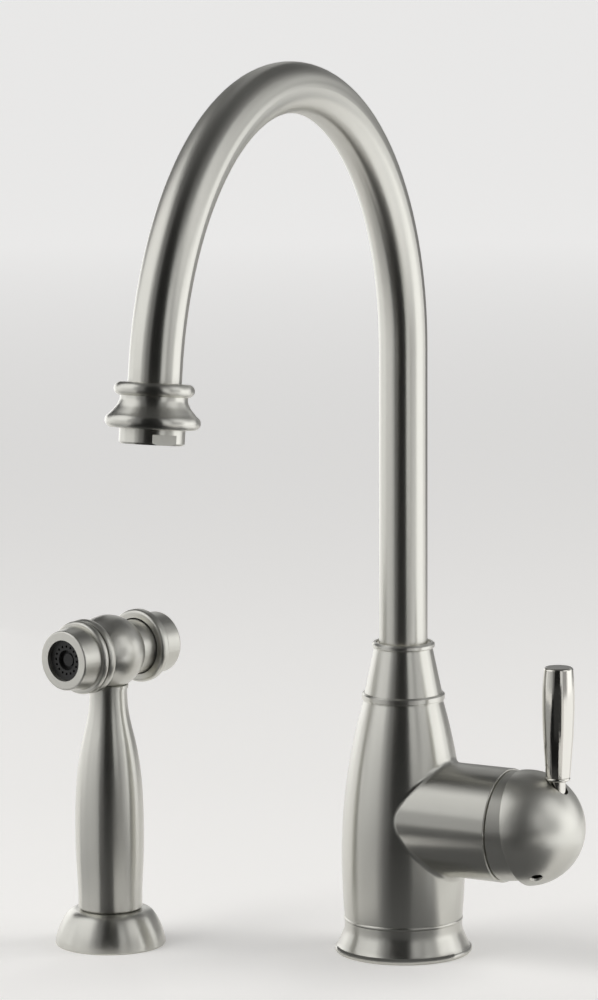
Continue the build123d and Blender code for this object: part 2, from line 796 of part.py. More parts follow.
def lever():
    """Polished lever: a gently swelled bar on a thin neck."""
    bead = lever_foot - lever_bead_height
    half_bead = lever_bead_height / 2
    round_over = 1.4
    belly_height_up = lever_foot + (lever_top - lever_foot) * 0.66
    lower = lever_foot + (lever_top - lever_foot) * 0.36
    shoulder = at(lever_top_radius, lever_top - round_over)
    corner = round_over * 0.29
    bar = turned(
        Polyline(at(0, stud_end), at(stud_radius, stud_end), at(stud_radius, lever_seat),
                 at(lever_neck_radius, lever_seat), at(lever_neck_radius, bead),
                 at(lever_bead_radius - 0.5, bead)),
        ThreePointArc(at(lever_bead_radius - 0.5, bead), at(lever_bead_radius, bead + half_bead),
                      at(lever_bead_radius - 0.5, lever_foot)),
        Line(at(lever_bead_radius - 0.5, lever_foot), at(lever_foot_radius, lever_foot)),
        Spline(at(lever_foot_radius, lever_foot), at(lever_belly_radius - 0.5, lower),
               at(lever_belly_radius, belly_height_up), shoulder),
        ThreePointArc(shoulder, at(lever_top_radius - corner, lever_top - corner),
                      at(lever_top_radius - round_over, lever_top)),
        Polyline(at(lever_top_radius - round_over, lever_top), at(0, lever_top), at(0, stud_end)))
    return to_lever * bar


# ---------------------------------------------------------------- spray holder

def spray_holder():
    """Domed foot that the spray stands in, hollow underneath."""
    seal_wide = holder_radius - 3.2
    seal_narrow = seal_wide - 4.0
    roof = holder_top - 5.5
    dome = turned(
        Polyline(at(holder_shank_radius, seal_height + 1), at(seal_narrow, seal_height + 1),
                 at(seal_narrow, seal_height), at(seal_wide, seal_height), at(seal_wide, 0),
                 at(holder_radius - 0.4, 0), at(holder_radius, 0.7)),
        Spline(at(holder_radius, 0.7), at(24.6, 5.6), at(22.7, 10.3), at(20.6, 14.0),
               at(holder_shoulder, holder_top), tangents=[(-0.12, 0, 1), (-1, 0, 0.12)]),
        Polyline(at(holder_shoulder, holder_top), at(holder_bore, holder_top),
                 at(holder_bore, holder_top - 1.2), at(holder_shank_radius, holder_top - 1.2),
                 at(holder_shank_radius, roof), at(holder_shank_radius, seal_height + 1)))
    return to_wand * dome


def holder_seal():
    outer = holder_radius - 3.2
    return to_wand * ring(outer, outer - 4.0, 0, seal_height)


def holder_shank():
    return to_wand * ring(holder_shank_radius, holder_shank_bore, -holder_shank_length, guide_bottom)


def holder_guide():
    """Plastic sleeve that the wand's spigot drops into."""
    return to_wand * ring(holder_shank_radius, guide_radius, guide_bottom, holder_top - 1.2)


def holder_washer():
    top = -deck_thickness
    return to_wand * ring(holder_clamp_radius, holder_shank_radius + free_gap, top - 2.5, top)


def holder_nut():
    top = -deck_thickness - 2.5
    return to_wand * hex_nut(holder_nut_flats, holder_shank_radius, top - nut_height, top)


# ---------------------------------------------------------------- wand

def spray_grip():
    """Swelled hand grip, bored for the water, with the spigot that stands in the holder."""
    foot = holder_top + free_gap
    span = grip_top - foot
    chamfer_size = 0.7
    outline = [
        Polyline(at(hose_stub_radius + free_gap, foot - spigot_length), at(spigot_radius, foot - spigot_length),
                 at(spigot_radius, foot), at(grip_foot_radius - chamfer_size, foot),
                 at(grip_foot_radius, foot + chamfer_size), at(grip_foot_radius, foot + 4)),
        Spline(at(grip_foot_radius, foot + 4), at(grip_belly_radius - 0.3, foot + 0.214 * span),
               at(grip_belly_radius, foot + 0.358 * span), at(15.0, foot + 0.59 * span),
               at(12.4, foot + 0.757 * span), at(9.5, foot + 0.883 * span), at(grip_top_radius, grip_top),
               tangents=[(0, 0, 1), (0, 0, 1)]),
        Polyline(at(grip_top_radius, grip_top), at(head_spigot_radius, grip_top),
                 at(head_spigot_radius, head_spigot_bottom), at(grip_bore, head_spigot_bottom),
                 at(grip_bore, foot + 0.86 * span), at(grip_belly_radius - grip_wall - 0.8, foot + 0.59 * span),
                 at(grip_belly_radius - grip_wall, foot + 0.416 * span),
                 at(grip_belly_radius - grip_wall, foot + 0.204 * span),
                 at(hose_swivel_radius + running_gap, hose_swivel_top + 4),
                 at(hose_swivel_radius + running_gap, foot), at(hose_stub_radius + free_gap, foot),
                 at(hose_stub_radius + free_gap, foot - spigot_length)),
    ]
    return to_wand * turned(*outline)


def hose_connector():
    """Nipple that the spray hose screws on: it turns in the foot of the grip."""
    foot = holder_top + free_gap
    bottom = foot + running_gap
    thread = ring(hose_thread_radius, hose_stub_bore, hose_stub_bottom, hose_thread_top)
    nipple = ring(hose_stub_radius, hose_stub_bore, hose_thread_top, bottom) + thread
    swivel = ring(hose_swivel_radius, hose_stub_bore, bottom, hose_swivel_top)
    groove = (bottom + hose_swivel_top) / 2
    swivel -= ring(hose_swivel_radius + 1, hose_swivel_radius - 2 * ring_section, groove - ring_section,
                   groove + ring_section)
    return to_wand * (nipple + swivel)


def connector_seal():
    groove = (holder_top + free_gap + running_gap + hose_swivel_top) / 2
    return to_wand * o_ring(hose_swivel_radius - ring_section, ring_section, groove)


def neck_ring():
    """Bright ring between grip and head."""
    bottom = grip_top
    return to_wand * ring(neck_ring_radius, head_spigot_radius, bottom, bottom + neck_ring_height)


def spray_head():
    """Ball-shaped head on a short neck, bored along its axis for the valve."""
    bead_half = (head_bead_front - head_bead_back) / 2
    bead_middle = head_bead_back + bead_half
    shell = ball(head_ball_radius) & above(head_step) & below(head_bead_front)
    shell += turned(
        Polyline(at(0, head_bead_back), at(head_bead_radius - 0.8, head_bead_back)),
        ThreePointArc(at(head_bead_radius - 0.8, head_bead_back), at(head_bead_radius, bead_middle),
                      at(head_bead_radius - 0.8, head_bead_front)),
        Polyline(at(head_bead_radius - 0.8, head_bead_front), at(0, head_bead_front), at(0, head_bead_back)))
    shell += rod(head_step_radius, head_step, 0)
    shell += rod(head_neck_radius, head_neck_back, 0)
    shell += rod(stub_radius, 0, stub_front)
    seat = grip_top + neck_ring_height - head_height
    neck = rod(grip_top_radius - 0.5, seat, 0)
    spigot = rod(head_spigot_radius, head_spigot_bottom - head_height, 0)
    water = rod(3.6, head_spigot_bottom - 1 - head_height, 0)
    upright = Rot(-90, 0, 0)
    shell -= upright * rod(neck_ring_radius + 1, seat - 5, seat)
    shell += upright * (neck + spigot)
    shell -= rod(head_bore, bulkhead_front, stub_front + 1)
    shell -= rod(spring_bore, head_neck_back - 1, bulkhead_back)
    shell -= rod(rod_radius + running_gap, bulkhead_back - 1, bulkhead_front + 1)
    shell -= upright * water
    return to_head * shell


def nozzle_shell():
    """Screwed nozzle: a rounded flange and a slightly tapered barrel with a thick lip."""
    half = (nozzle_flange_front - nozzle_flange_back) / 2
    middle = nozzle_flange_back + half
    edge = nozzle_flange_radius - 1.1
    outline = [
        Polyline(at(stub_radius, nozzle_flange_back), at(edge, nozzle_flange_back)),
        ThreePointArc(at(edge, nozzle_flange_back), at(nozzle_flange_radius, middle), at(edge, nozzle_flange_front)),
        Polyline(at(edge, nozzle_flange_front), at(nozzle_root_radius, nozzle_flange_front),
                 at(nozzle_tip_radius, nozzle_front - 0.9)),
        ThreePointArc(at(nozzle_tip_radius, nozzle_front - 0.9), at(nozzle_tip_radius - 0.26, nozzle_front - 0.26),
                      at(nozzle_tip_radius - 0.9, nozzle_front)),
        Polyline(at(nozzle_tip_radius - 0.9, nozzle_front), at(nozzle_mouth_radius, nozzle_front),
                 at(nozzle_mouth_radius, face_front), at(stub_radius, face_front),
                 at(stub_radius, nozzle_flange_back)),
    ]
    return to_head * turned(*outline)


def face_seal():
    return to_head * ring(stub_radius - 0.1, head_bore, stub_front, face_back)


def spray_face():
    """Plastic spray plate: a ring of small holes round a deep well with a boss in it."""
    plate = rod(stub_radius - 0.1, face_back, face_front)
    plate -= rod(well_radius, face_front - well_depth, face_front + 1)
    plate += rod(well_boss_radius, face_front - well_depth - 0.1, face_front - well_depth + well_boss_height)
    hole = Pos(spray_hole_circle, 0, 0) * rod(spray_hole_radius, face_back - 1, face_front + 1)
    for i in range(spray_hole_count):
        plate -= Rot(0, 0, 360 * i / spray_hole_count) * hole
    return to_head * plate


def valve_seat():
    return to_head * ring(head_bore, spool_radius, valve_seat_back, valve_seat_front)


def rod_seal():
    """Packing ring round the rod, pressed in the back of the bulkhead."""
    return to_head * ring(spring_bore - 0.1, rod_radius + running_gap, bulkhead_back - 1.2, bulkhead_back)


# ---------------------------------------------------------------- push button and valve

def push_button():
    """Cap that slides on the head's neck: a rounded flange and a plain barrel."""
    inner = button_radius - button_wall
    flange_back = button_front - button_flange_depth
    round_over = 1.7
    flange_face = button_flange_radius - round_over
    outline = [
        Polyline(at(inner, button_front), at(flange_face, button_front)),
        ThreePointArc(at(flange_face, button_front),
                      at(button_flange_radius - round_over * 0.29, button_front - round_over * 0.29),
                      at(button_flange_radius, button_front - round_over)),
        Line(at(button_flange_radius, button_front - round_over), at(button_flange_radius, flange_back + 1.0)),
        ThreePointArc(at(button_flange_radius, flange_back + 1.0), at(button_flange_radius - 0.3, flange_back + 0.3),
                      at(button_flange_radius - 1.0, flange_back)),
        Polyline(at(button_flange_radius - 1.0, flange_back), at(button_radius, flange_back),
                 at(button_radius, button_back + 1.2)),
        ThreePointArc(at(button_radius, button_back + 1.2), at(button_radius - 0.35, button_back + 0.35),
                      at(button_radius - 1.2, button_back)),
        Polyline(at(button_radius - 1.2, button_back), at(0, button_back), at(0, button_floor),
                 at(inner, button_floor), at(inner, button_front)),
    ]
    button = turned(*outline) - rod(rod_radius, button_floor - 2, button_floor + 1)
    return to_head * button


def valve_spool():
    """Rod from the button to the spool that uncovers the seat's bore when it is pushed."""
    spindle = rod(rod_radius, button_floor - 2, valve_seat_back)
    spool = rod(spool_radius - running_gap, valve_seat_back, valve_seat_front + 0.6)
    return to_head * (spindle + spool)


def trigger_spring():
    """Return spring between the bulkhead and the button."""
    start = button_floor + spring_wire / 2 + 0.1
    end = bulkhead_back - 1.2 - spring_wire / 2 - 0.1
    length = end - start
    coil = Helix(length / spring_turns, length, spring_radius, center=(0, 0, start))
    section = Plane(origin=coil @ 0, z_dir=coil % 0) * Circle(spring_wire / 2)
    return to_head * sweep(section, coil, is_frenet=True)


# ---------------------------------------------------------------- all pieces

pieces = {
    "spout_tube": spout_tube(),
    "spout_foot": spout_foot(),
    "spout_seals": spout_seals(),
    "outlet_body": outlet_body(),
    "aerator_shell": aerator_shell(),
    "aerator_insert": aerator_insert(),
    "aerator_washer": aerator_washer(),
    "body_shell": body_shell(),
    "neck_collar": neck_collar(),
    "collar_bush": collar_bush(),
    "thrust_washer_lower": thrust_washer(neck_top),
    "thrust_washer_upper": upper_thrust_washer(),
    "base_ring": base_ring(),
    "base_seal": base_seal(),
    "mounting_shank": mounting_shank(),
    "deck_washer": deck_washer(),
    "clamp_washer": clamp_washer(),
    "lock_nut": lock_nut(),
    "diverter_body": diverter_body(),
    "diverter_piston": diverter_piston(),
    "diverter_seal": diverter_seal(),
    "cartridge_body": cartridge_body(),
    "cartridge_base": cartridge_base(),
    "port_seals": port_seals(),
    "fixed_disc": fixed_disc(),
    "moving_disc": moving_disc(),
    "cartridge_rotor": cartridge_rotor(),
    "pivot_pin": pivot_pin(),
    "cartridge_stem": cartridge_stem(),
    "cartridge_nut": cartridge_nut(),
    "bonnet": bonnet(),
    "handle_ball": handle_ball(),
    "set_screw": set_screw(),
    "lever": lever(),
    "spray_holder": spray_holder(),
    "holder_seal": holder_seal(),
    "holder_shank": holder_shank(),
    "holder_guide": holder_guide(),
    "holder_washer": holder_washer(),
    "holder_nut": holder_nut(),
    "spray_grip": spray_grip(),
    "hose_connector": hose_connector(),
    "connector_seal": connector_seal(),
    "neck_ring": neck_ring(),
    "spray_head": spray_head(),
    "nozzle_shell": nozzle_shell(),
    "face_seal": face_seal(),
    "spray_face": spray_face(),
    "valve_seat": valve_seat(),
    "rod_seal": rod_seal(),
    "push_button": push_button(),
    "valve_spool": valve_spool(),
    "trigger_spring": trigger_spring(),
}

for name, shape in pieces.items():
    save(name, shape)

print(len(pieces), "pieces")
print("outlet mouth at y %.1f, z %.1f" % (mouth_y, mouth_z))
print("crown of the spout at z %.1f" % (tube_rise + bend_radius + tube_radius))
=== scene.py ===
import json
import math

import bmesh
import bpy
import numpy as np
from mathutils import Matrix, Vector


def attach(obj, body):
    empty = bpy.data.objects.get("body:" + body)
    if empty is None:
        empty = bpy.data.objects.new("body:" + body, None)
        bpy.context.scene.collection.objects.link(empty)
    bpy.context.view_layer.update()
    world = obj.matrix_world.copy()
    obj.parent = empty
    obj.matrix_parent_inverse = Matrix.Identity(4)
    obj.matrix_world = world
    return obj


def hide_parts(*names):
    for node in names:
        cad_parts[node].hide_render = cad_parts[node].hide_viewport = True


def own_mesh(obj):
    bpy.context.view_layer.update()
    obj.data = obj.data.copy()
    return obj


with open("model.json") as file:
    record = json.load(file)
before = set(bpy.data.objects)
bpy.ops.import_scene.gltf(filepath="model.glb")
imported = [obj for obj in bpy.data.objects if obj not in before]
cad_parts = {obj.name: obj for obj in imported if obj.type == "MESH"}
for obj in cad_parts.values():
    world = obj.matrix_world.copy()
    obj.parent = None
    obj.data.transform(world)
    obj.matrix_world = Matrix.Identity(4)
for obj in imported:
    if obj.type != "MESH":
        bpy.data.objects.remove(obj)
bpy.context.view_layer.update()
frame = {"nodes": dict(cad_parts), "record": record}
nodes = frame["nodes"]
record = frame["record"]
bpy.context.scene.view_settings.view_transform = "Standard"

# where the turned and formed pieces have their axes, in metres, from the same sizes as the solids
up = (0.0, 0.0, 1.0)
gooseneck = {"swing": 4.3, "rise": 0.2797, "bendRadius": 0.1243, "bendAngle": 172.5}
valve = {"middle": (0.0639, 0.0, 0.064), "along": (1.0, 0.0, 0.0)}
spray = {"middle": (-0.126, -0.0532, 0.1373), "swing": 9.9}
spray["along"] = (-math.sin(math.radians(spray["swing"])), -math.cos(math.radians(spray["swing"])), 0.0)


def toLinear(hexColour):
    # sRGB hex to linear red, green, blue and alpha
    parts = [int(hexColour[i:i + 2], 16) / 255 for i in (1, 3, 5)]
    return [p / 12.92 if p <= 0.04045 else ((p + 0.055) / 1.055) ** 2.4 for p in parts] + [1.0]


# the photograph's view: azimuth from -Y towards +X, elevation above the deck
camera = {"azimuth": 29.56, "elevation": 8.29, "distance": 2.1635, "roll": -0.23,
          "target": (-0.04127, -0.02341, 0.20995), "lens": 170.95, "sensor": 36.0, "farClip": 60.0}


def direction(azimuth, elevation):
    az, el = math.radians(azimuth), math.radians(elevation)
    return Vector((math.sin(az) * math.cos(el), -math.cos(az) * math.cos(el), math.sin(el)))


def makeCamera():
    towards = direction(camera["azimuth"], camera["elevation"])
    data = bpy.data.cameras.new("camera")
    data.sensor_fit = "VERTICAL"
    data.sensor_height = camera["sensor"]
    data.lens = camera["lens"]
    data.clip_end = camera["farClip"]
    obj = bpy.data.objects.new("camera", data)
    roll = Matrix.Rotation(math.radians(camera["roll"]), 4, "Z")
    turn = towards.to_track_quat("Z", "Y").to_matrix().to_4x4() @ roll
    obj.matrix_world = Matrix.Translation(Vector(camera["target"]) + towards * camera["distance"]) @ turn
    bpy.context.scene.collection.objects.link(obj)
    bpy.context.scene.camera = obj


makeCamera()
print("camera placed")


def add(tree, kind, settings=None, links=None):
    # adds a node, sets its properties and input values, and links its inputs
    node = tree.nodes.new(kind)
    for key, value in (settings or {}).items():
        if isinstance(key, int) or key in node.inputs:
            node.inputs[key].default_value = value
        else:
            setattr(node, key, value)
    for key, source in (links or {}).items():
        tree.links.new(source, node.inputs[key])
    return node


def emptyMaterial(name):
    m = bpy.data.materials.new(name)
    m.use_nodes = True
    m.node_tree.nodes.clear()
    return m, m.node_tree


def closeMaterial(tree, settings, links):
    shader = add(tree, "ShaderNodeBsdfPrincipled", settings, links)
    add(tree, "ShaderNodeOutputMaterial", links={"Surface": shader.outputs["BSDF"]})
    return shader


outwardShare = 0.15  # how much of the way out a turned profile's way down has, beside the line's way


def axisField(tree, through, along):
    # for a piece turned about a line: how far along and how far out a point is, the way out to it,
    # and the way down its profile, which is the line's way with a little of the way out
    place = add(tree, "ShaderNodeTexCoord").outputs["Object"]
    offset = add(tree, "ShaderNodeVectorMath", {"operation": "SUBTRACT", 1: through}, {0: place}).outputs[0]
    height = add(tree, "ShaderNodeVectorMath", {"operation": "DOT_PRODUCT", 1: along},
                 {0: offset}).outputs["Value"]
    line = add(tree, "ShaderNodeVectorMath", {"operation": "SCALE", 0: along}, {"Scale": height}).outputs[0]
    out = add(tree, "ShaderNodeVectorMath", {"operation": "SUBTRACT"}, {0: offset, 1: line}).outputs[0]
    radius = add(tree, "ShaderNodeVectorMath", {"operation": "LENGTH"}, {0: out}).outputs["Value"]
    unit = add(tree, "ShaderNodeVectorMath", {"operation": "NORMALIZE"}, {0: out}).outputs[0]
    lean = add(tree, "ShaderNodeVectorMath", {"operation": "MULTIPLY_ADD", 1: (outwardShare,) * 3, 2: along},
               {0: unit}).outputs[0]
    return height, radius, unit, lean


def bendField(tree):
    # for the gooseneck: the distance along its middle line, how far a point is to the side, its place,
    # and the way the tube runs there. A point below the bend is measured from the bend's centre as if
    # it were level with it, so the legs run straight
    swing = math.radians(gooseneck["swing"])
    level = (math.sin(swing), -math.cos(swing), 0.0)  # towards the outlet
    across = (math.cos(swing), math.sin(swing), 0.0)
    place = add(tree, "ShaderNodeTexCoord").outputs["Object"]
    reach = add(tree, "ShaderNodeVectorMath", {"operation": "DOT_PRODUCT", 1: level},
                {0: place}).outputs["Value"]
    height = add(tree, "ShaderNodeSeparateXYZ", links={"Vector": place}).outputs["Z"]
    beyond = add(tree, "ShaderNodeMath", {"operation": "SUBTRACT", 1: gooseneck["bendRadius"]},
                 {0: reach}).outputs[0]
    above = add(tree, "ShaderNodeMath", {"operation": "SUBTRACT", 1: gooseneck["rise"]},
                {0: height}).outputs[0]
    lift = add(tree, "ShaderNodeMath", {"operation": "MAXIMUM", 1: 0.0}, {0: above}).outputs[0]
    drop = add(tree, "ShaderNodeMath", {"operation": "MINIMUM", 1: 0.0}, {0: above}).outputs[0]
    turn = add(tree, "ShaderNodeMath", {"operation": "ARCTAN2"}, {0: lift, 1: beyond}).outputs[0]
    distance = add(tree, "ShaderNodeMath", {"operation": "MULTIPLY_ADD", 1: -gooseneck["bendRadius"]},
                   {0: turn, 2: drop}).outputs[0]
    sideways = add(tree, "ShaderNodeVectorMath", {"operation": "SCALE", 0: level},
                   {"Scale": beyond}).outputs[0]
    upwards = add(tree, "ShaderNodeCombineXYZ", links={"Z": lift}).outputs[0]
    spoke = add(tree, "ShaderNodeVectorMath", {"operation": "ADD"}, {0: sideways, 1: upwards}).outputs[0]
    way = add(tree, "ShaderNodeVectorMath", {"operation": "CROSS_PRODUCT", 0: across}, {1: spoke}).outputs[0]
    sideDistance = add(tree, "ShaderNodeVectorMath", {"operation": "DOT_PRODUCT", 1: across},
                       {0: place}).outputs["Value"]
    unitWay = add(tree, "ShaderNodeVectorMath", {"operation": "NORMALIZE"}, {0: way}).outputs[0]
    return distance, sideDistance, place, unitWay


# brushed satin nickel plate: turned brass, plated, then brushed round and round with a fine wheel.
# The scratches run round each piece, so what it mirrors is drawn out along the piece and stays
# crisp across it, as bright and dark bands down the body and the gooseneck
satin = {"colour": "#d3d2cb", "roughness": 0.312, "anisotropic": 0.85,
         "around": 1.6,          # how much the scratches change on the way round
         "scratch": 0.0012,      # real scratches are under 0.1 mm apart, drawn at 1.2 mm to show at all
         "scratchDepth": 0.0000008, "scratchSpread": 0.012,
         "cloud": 0.011, "cloudSpread": 0.014}   # slow change of the wheel's pressure, in metres


def satinNickel(name, field, roughness=satin["roughness"], anisotropic=satin["anisotropic"]):
    m, t = emptyMaterial(name)
    height, radius, around, way = field(t)
    scratchAt = add(t, "ShaderNodeCombineXYZ", links={"X": height, "Y": radius}).outputs[0]
    fine = add(t, "ShaderNodeVectorMath", {"operation": "SCALE", "Scale": 1 / satin["scratch"]},
               {0: scratchAt})
    slow = add(t, "ShaderNodeVectorMath", {"operation": "SCALE", "Scale": satin["around"]}, {0: around})
    both = add(t, "ShaderNodeVectorMath", {"operation": "ADD"}, {0: fine.outputs[0], 1: slow.outputs[0]})
    scratches = add(t, "ShaderNodeTexNoise", {"Scale": 1.0, "Detail": 0.0},
                    {"Vector": both.outputs[0]}).outputs["Fac"]
    place = add(t, "ShaderNodeTexCoord").outputs["Object"]
    cloud = add(t, "ShaderNodeTexNoise", {"Scale": 1 / satin["cloud"], "Detail": 2.0, "Roughness": 0.45},
                {"Vector": place}).outputs["Fac"]
    rough = add(t, "ShaderNodeMapRange", {"To Min": roughness - satin["scratchSpread"],
                                          "To Max": roughness + satin["scratchSpread"]}, {"Value": scratches})
    patch = add(t, "ShaderNodeMapRange", {"To Min": -satin["cloudSpread"], "To Max": satin["cloudSpread"]},
                {"Value": cloud})
    total = add(t, "ShaderNodeMath", {"operation": "ADD"}, {0: rough.outputs[0], 1: patch.outputs[0]})
    dents = add(t, "ShaderNodeBump", {"Strength": 1.0, "Distance": satin["scratchDepth"]},
                {"Height": scratches})
    world = add(t, "ShaderNodeVectorTransform", {"vector_type": "VECTOR", "convert_from": "OBJECT",
                                                 "convert_to": "WORLD"}, {"Vector": way})
    closeMaterial(t, {"Base Color": toLinear(satin["colour"]), "Metallic": 1.0, "Anisotropic": anisotropic},
                  {"Roughness": total.outputs[0], "Normal": dents.outputs[0], "Tangent": world.outputs[0]})
    return m


def aboutLine(through, along):
    return lambda tree: axisField(tree, through, along)


bodyBelly = {"radius": 0.0284, "height": 0.045, "arc": 0.262, "beyond": 0.0003}  # the body's long curve


def bodyField(tree):
    # round the upright line on the body, and round the valve's line on the housing, which is where
    # the surface stands outside the body's own curve. Above the belly the curve's radius is the
    # belly's, less the square of the height over it divided by twice the arc
    ownHeight, ownRadius, ownAround, ownWay = axisField(tree, (0.0, 0.0, 0.0), up)
    armHeight, armRadius, armAround, armWay = axisField(tree, valve["middle"], valve["along"])
    above = add(tree, "ShaderNodeMath", {"operation": "SUBTRACT", 1: bodyBelly["height"]},
                {0: ownHeight}).outputs[0]
    rise = add(tree, "ShaderNodeMath", {"operation": "MAXIMUM", 1: 0.0}, {0: above}).outputs[0]
    square = add(tree, "ShaderNodeMath", {"operation": "MULTIPLY"}, {0: rise, 1: rise}).outputs[0]
    edge = add(tree, "ShaderNodeMath", {"operation": "MULTIPLY_ADD", 1: -0.5 / bodyBelly["arc"],
                                        2: bodyBelly["radius"] + bodyBelly["beyond"]}, {0: square}).outputs[0]
    onArm = add(tree, "ShaderNodeMath", {"operation": "GREATER_THAN"}, {0: ownRadius, 1: edge}).outputs[0]
    chosen = []
    for own, arm in ((ownHeight, armHeight), (ownRadius, armRadius)):
        mix = add(tree, "ShaderNodeMix", {"data_type": "FLOAT"}, {"Factor": onArm, 2: own, 3: arm})
        chosen.append(mix.outputs[0])
    for own, arm in ((ownAround, armAround), (ownWay, armWay)):
        mix = add(tree, "ShaderNodeMix", {"data_type": "VECTOR"}, {"Factor": onArm, 4: own, 5: arm})
        chosen.append(mix.outputs[1])
    return chosen


# polished nickel plate: buffed on a soft wheel until only slow ripples are left, so the lever
# mirrors the room in narrow clear bands
polished = {"colour": "#d8d6cf", "roughness": 0.09, "spread": 0.04, "haze": 0.0016,
            "ripple": 0.007, "rippleDepth": 0.0000025}


def polishedNickel():
    m, t = emptyMaterial("polishedNickelPlate")
    place = add(t, "ShaderNodeTexCoord").outputs["Object"]
    haze = add(t, "ShaderNodeTexNoise", {"Scale": 1 / polished["haze"], "Detail": 3.0}, {"Vector": place})
    rough = add(t, "ShaderNodeMapRange", {"To Min": polished["roughness"],
                                          "To Max": polished["roughness"] + polished["spread"]},
                {"Value": haze.outputs["Fac"]})
    ripple = add(t, "ShaderNodeTexNoise", {"Scale": 1 / polished["ripple"], "Detail": 1.0}, {"Vector": place})
    dents = add(t, "ShaderNodeBump", {"Strength": 1.0, "Distance": polished["rippleDepth"]},
                {"Height": ripple.outputs["Fac"]})
    closeMaterial(t, {"Base Color": toLinear(polished["colour"]), "Metallic": 1.0},
                  {"Roughness": rough.outputs[0], "Normal": dents.outputs[0]})
    return m


# free-cutting brass, turned from bar and left as it came off the lathe: tool rings run round it and
# the yellow has gone a little browner in patches
brass = {"fresh": "#d2b26c", "dull": "#b08d4c", "patch": 0.009,
         "feed": 0.0005,         # real rings are 0.15 mm apart, drawn at 0.5 mm to show at all
         "roughness": 0.24, "spread": 0.14, "ringDepth": 0.000006}


def turnedBrass(name, field):
    m, t = emptyMaterial(name)
    height, radius, around, way = field(t)
    across = add(t, "ShaderNodeCombineXYZ", links={"X": height, "Y": radius}).outputs[0]
    fine = add(t, "ShaderNodeVectorMath", {"operation": "SCALE", "Scale": 1 / brass["feed"]}, {0: across})
    rings = add(t, "ShaderNodeTexNoise", {"Scale": 1.0, "Detail": 1.0},
                {"Vector": fine.outputs[0]}).outputs["Fac"]
    place = add(t, "ShaderNodeTexCoord").outputs["Object"]
    patch = add(t, "ShaderNodeTexNoise", {"Scale": 1 / brass["patch"], "Detail": 3.0}, {"Vector": place})
    fresh, dull = toLinear(brass["fresh"]), toLinear(brass["dull"])
    tone = add(t, "ShaderNodeMix", {"data_type": "RGBA", 6: fresh, 7: dull}, {"Factor": patch.outputs["Fac"]})
    rough = add(t, "ShaderNodeMapRange", {"To Min": brass["roughness"],
                                          "To Max": brass["roughness"] + brass["spread"]}, {"Value": rings})
    dents = add(t, "ShaderNodeBump", {"Strength": 1.0, "Distance": brass["ringDepth"]}, {"Height": rings})
    closeMaterial(t, {"Metallic": 1.0},
                  {"Base Color": tone.outputs[2], "Roughness": rough.outputs[0], "Normal": dents.outputs[0]})
    return m


# what the plain grained materials have in common: a base colour that drifts to a second one over
# patches, and a fine grain that shapes both the roughness and a shallow bump
grained = {
    # stainless steel, pressed or drawn and tumbled: grey, soft edged gloss, faint pits
    "stainlessSteelTumbled": {
        "colours": ("#bcbdbb", "#a9aaa8"), "metallic": 1.0, "patch": 0.006, "grain": 0.0006,
        "roughness": (0.26, 0.38), "depth": 0.000004, "coat": 0.0, "sheen": 0.0},
    # glass filled acetal, moulded black in a spark eroded tool: dark grey with a dull, even sparkle
    "blackAcetalMoulded": {
        "colours": ("#171717", "#1f1f1e"), "metallic": 0.0, "patch": 0.008, "grain": 0.00045,
        "roughness": (0.38, 0.5), "depth": 0.000012, "coat": 0.0, "sheen": 0.0},
    # natural acetal, moulded in a polished tool: milky white with waxy highlights and weak flow marks
    "naturalAcetalMoulded": {
        "colours": ("#e4e1d8", "#d6d2c6"), "metallic": 0.0, "patch": 0.011, "grain": 0.0012,
        "roughness": (0.32, 0.42), "depth": 0.000006, "coat": 0.0, "sheen": 0.0},
    # alumina, sintered and lapped: ivory, hard and glossy, with grey specks from the lapping
    "aluminaLapped": {
        "colours": ("#f0eee8", "#dddad0"), "metallic": 0.0, "patch": 0.0014, "grain": 0.0003,
        "roughness": (0.12, 0.26), "depth": 0.000002, "coat": 0.25, "sheen": 0.0},
    # nitrile rubber, pressed in a fine blasted tool: near black with a grey bloom on it
    "nitrileRubberPressed": {
        "colours": ("#141414", "#232322"), "metallic": 0.0, "patch": 0.005, "grain": 0.0005,
        "roughness": (0.6, 0.78), "depth": 0.00002, "coat": 0.0, "sheen": 0.15},
}


def grainedMaterial(name):
    look = grained[name]
    m, t = emptyMaterial(name)
    place = add(t, "ShaderNodeTexCoord").outputs["Object"]
    patch = add(t, "ShaderNodeTexNoise", {"Scale": 1 / look["patch"], "Detail": 3.0}, {"Vector": place})
    grain = add(t, "ShaderNodeTexNoise", {"Scale": 1 / look["grain"], "Detail": 2.0, "Roughness": 0.6},
                {"Vector": place}).outputs["Fac"]
    fresh, worn = look["colours"]
    tone = add(t, "ShaderNodeMix", {"data_type": "RGBA", 6: toLinear(fresh), 7: toLinear(worn)},
               {"Factor": patch.outputs["Fac"]})
    low, high = look["roughness"]
    rough = add(t, "ShaderNodeMapRange", {"To Min": low, "To Max": high}, {"Value": grain})
    dents = add(t, "ShaderNodeBump", {"Strength": 1.0, "Distance": look["depth"]}, {"Height": grain})
    closeMaterial(t, {"Metallic": look["metallic"], "Coat Weight": look["coat"], "Coat Roughness": 0.1,
                      "Sheen Weight": look["sheen"]},
                  {"Base Color": tone.outputs[2], "Roughness": rough.outputs[0], "Normal": dents.outputs[0]})
    return m


def outletLine():
    # the outlet's middle line carries on from the end of the gooseneck
    swing, turn = math.radians(gooseneck["swing"]), math.radians(gooseneck["bendAngle"])
    level = Vector((math.sin(swing), -math.cos(swing), 0.0))
    through = level * gooseneck["bendRadius"] * (1 - math.cos(turn))
    through.z = gooseneck["rise"] + gooseneck["bendRadius"] * math.sin(turn)
    return tuple(through), tuple(level * math.sin(turn) + Vector(up) * math.cos(turn))


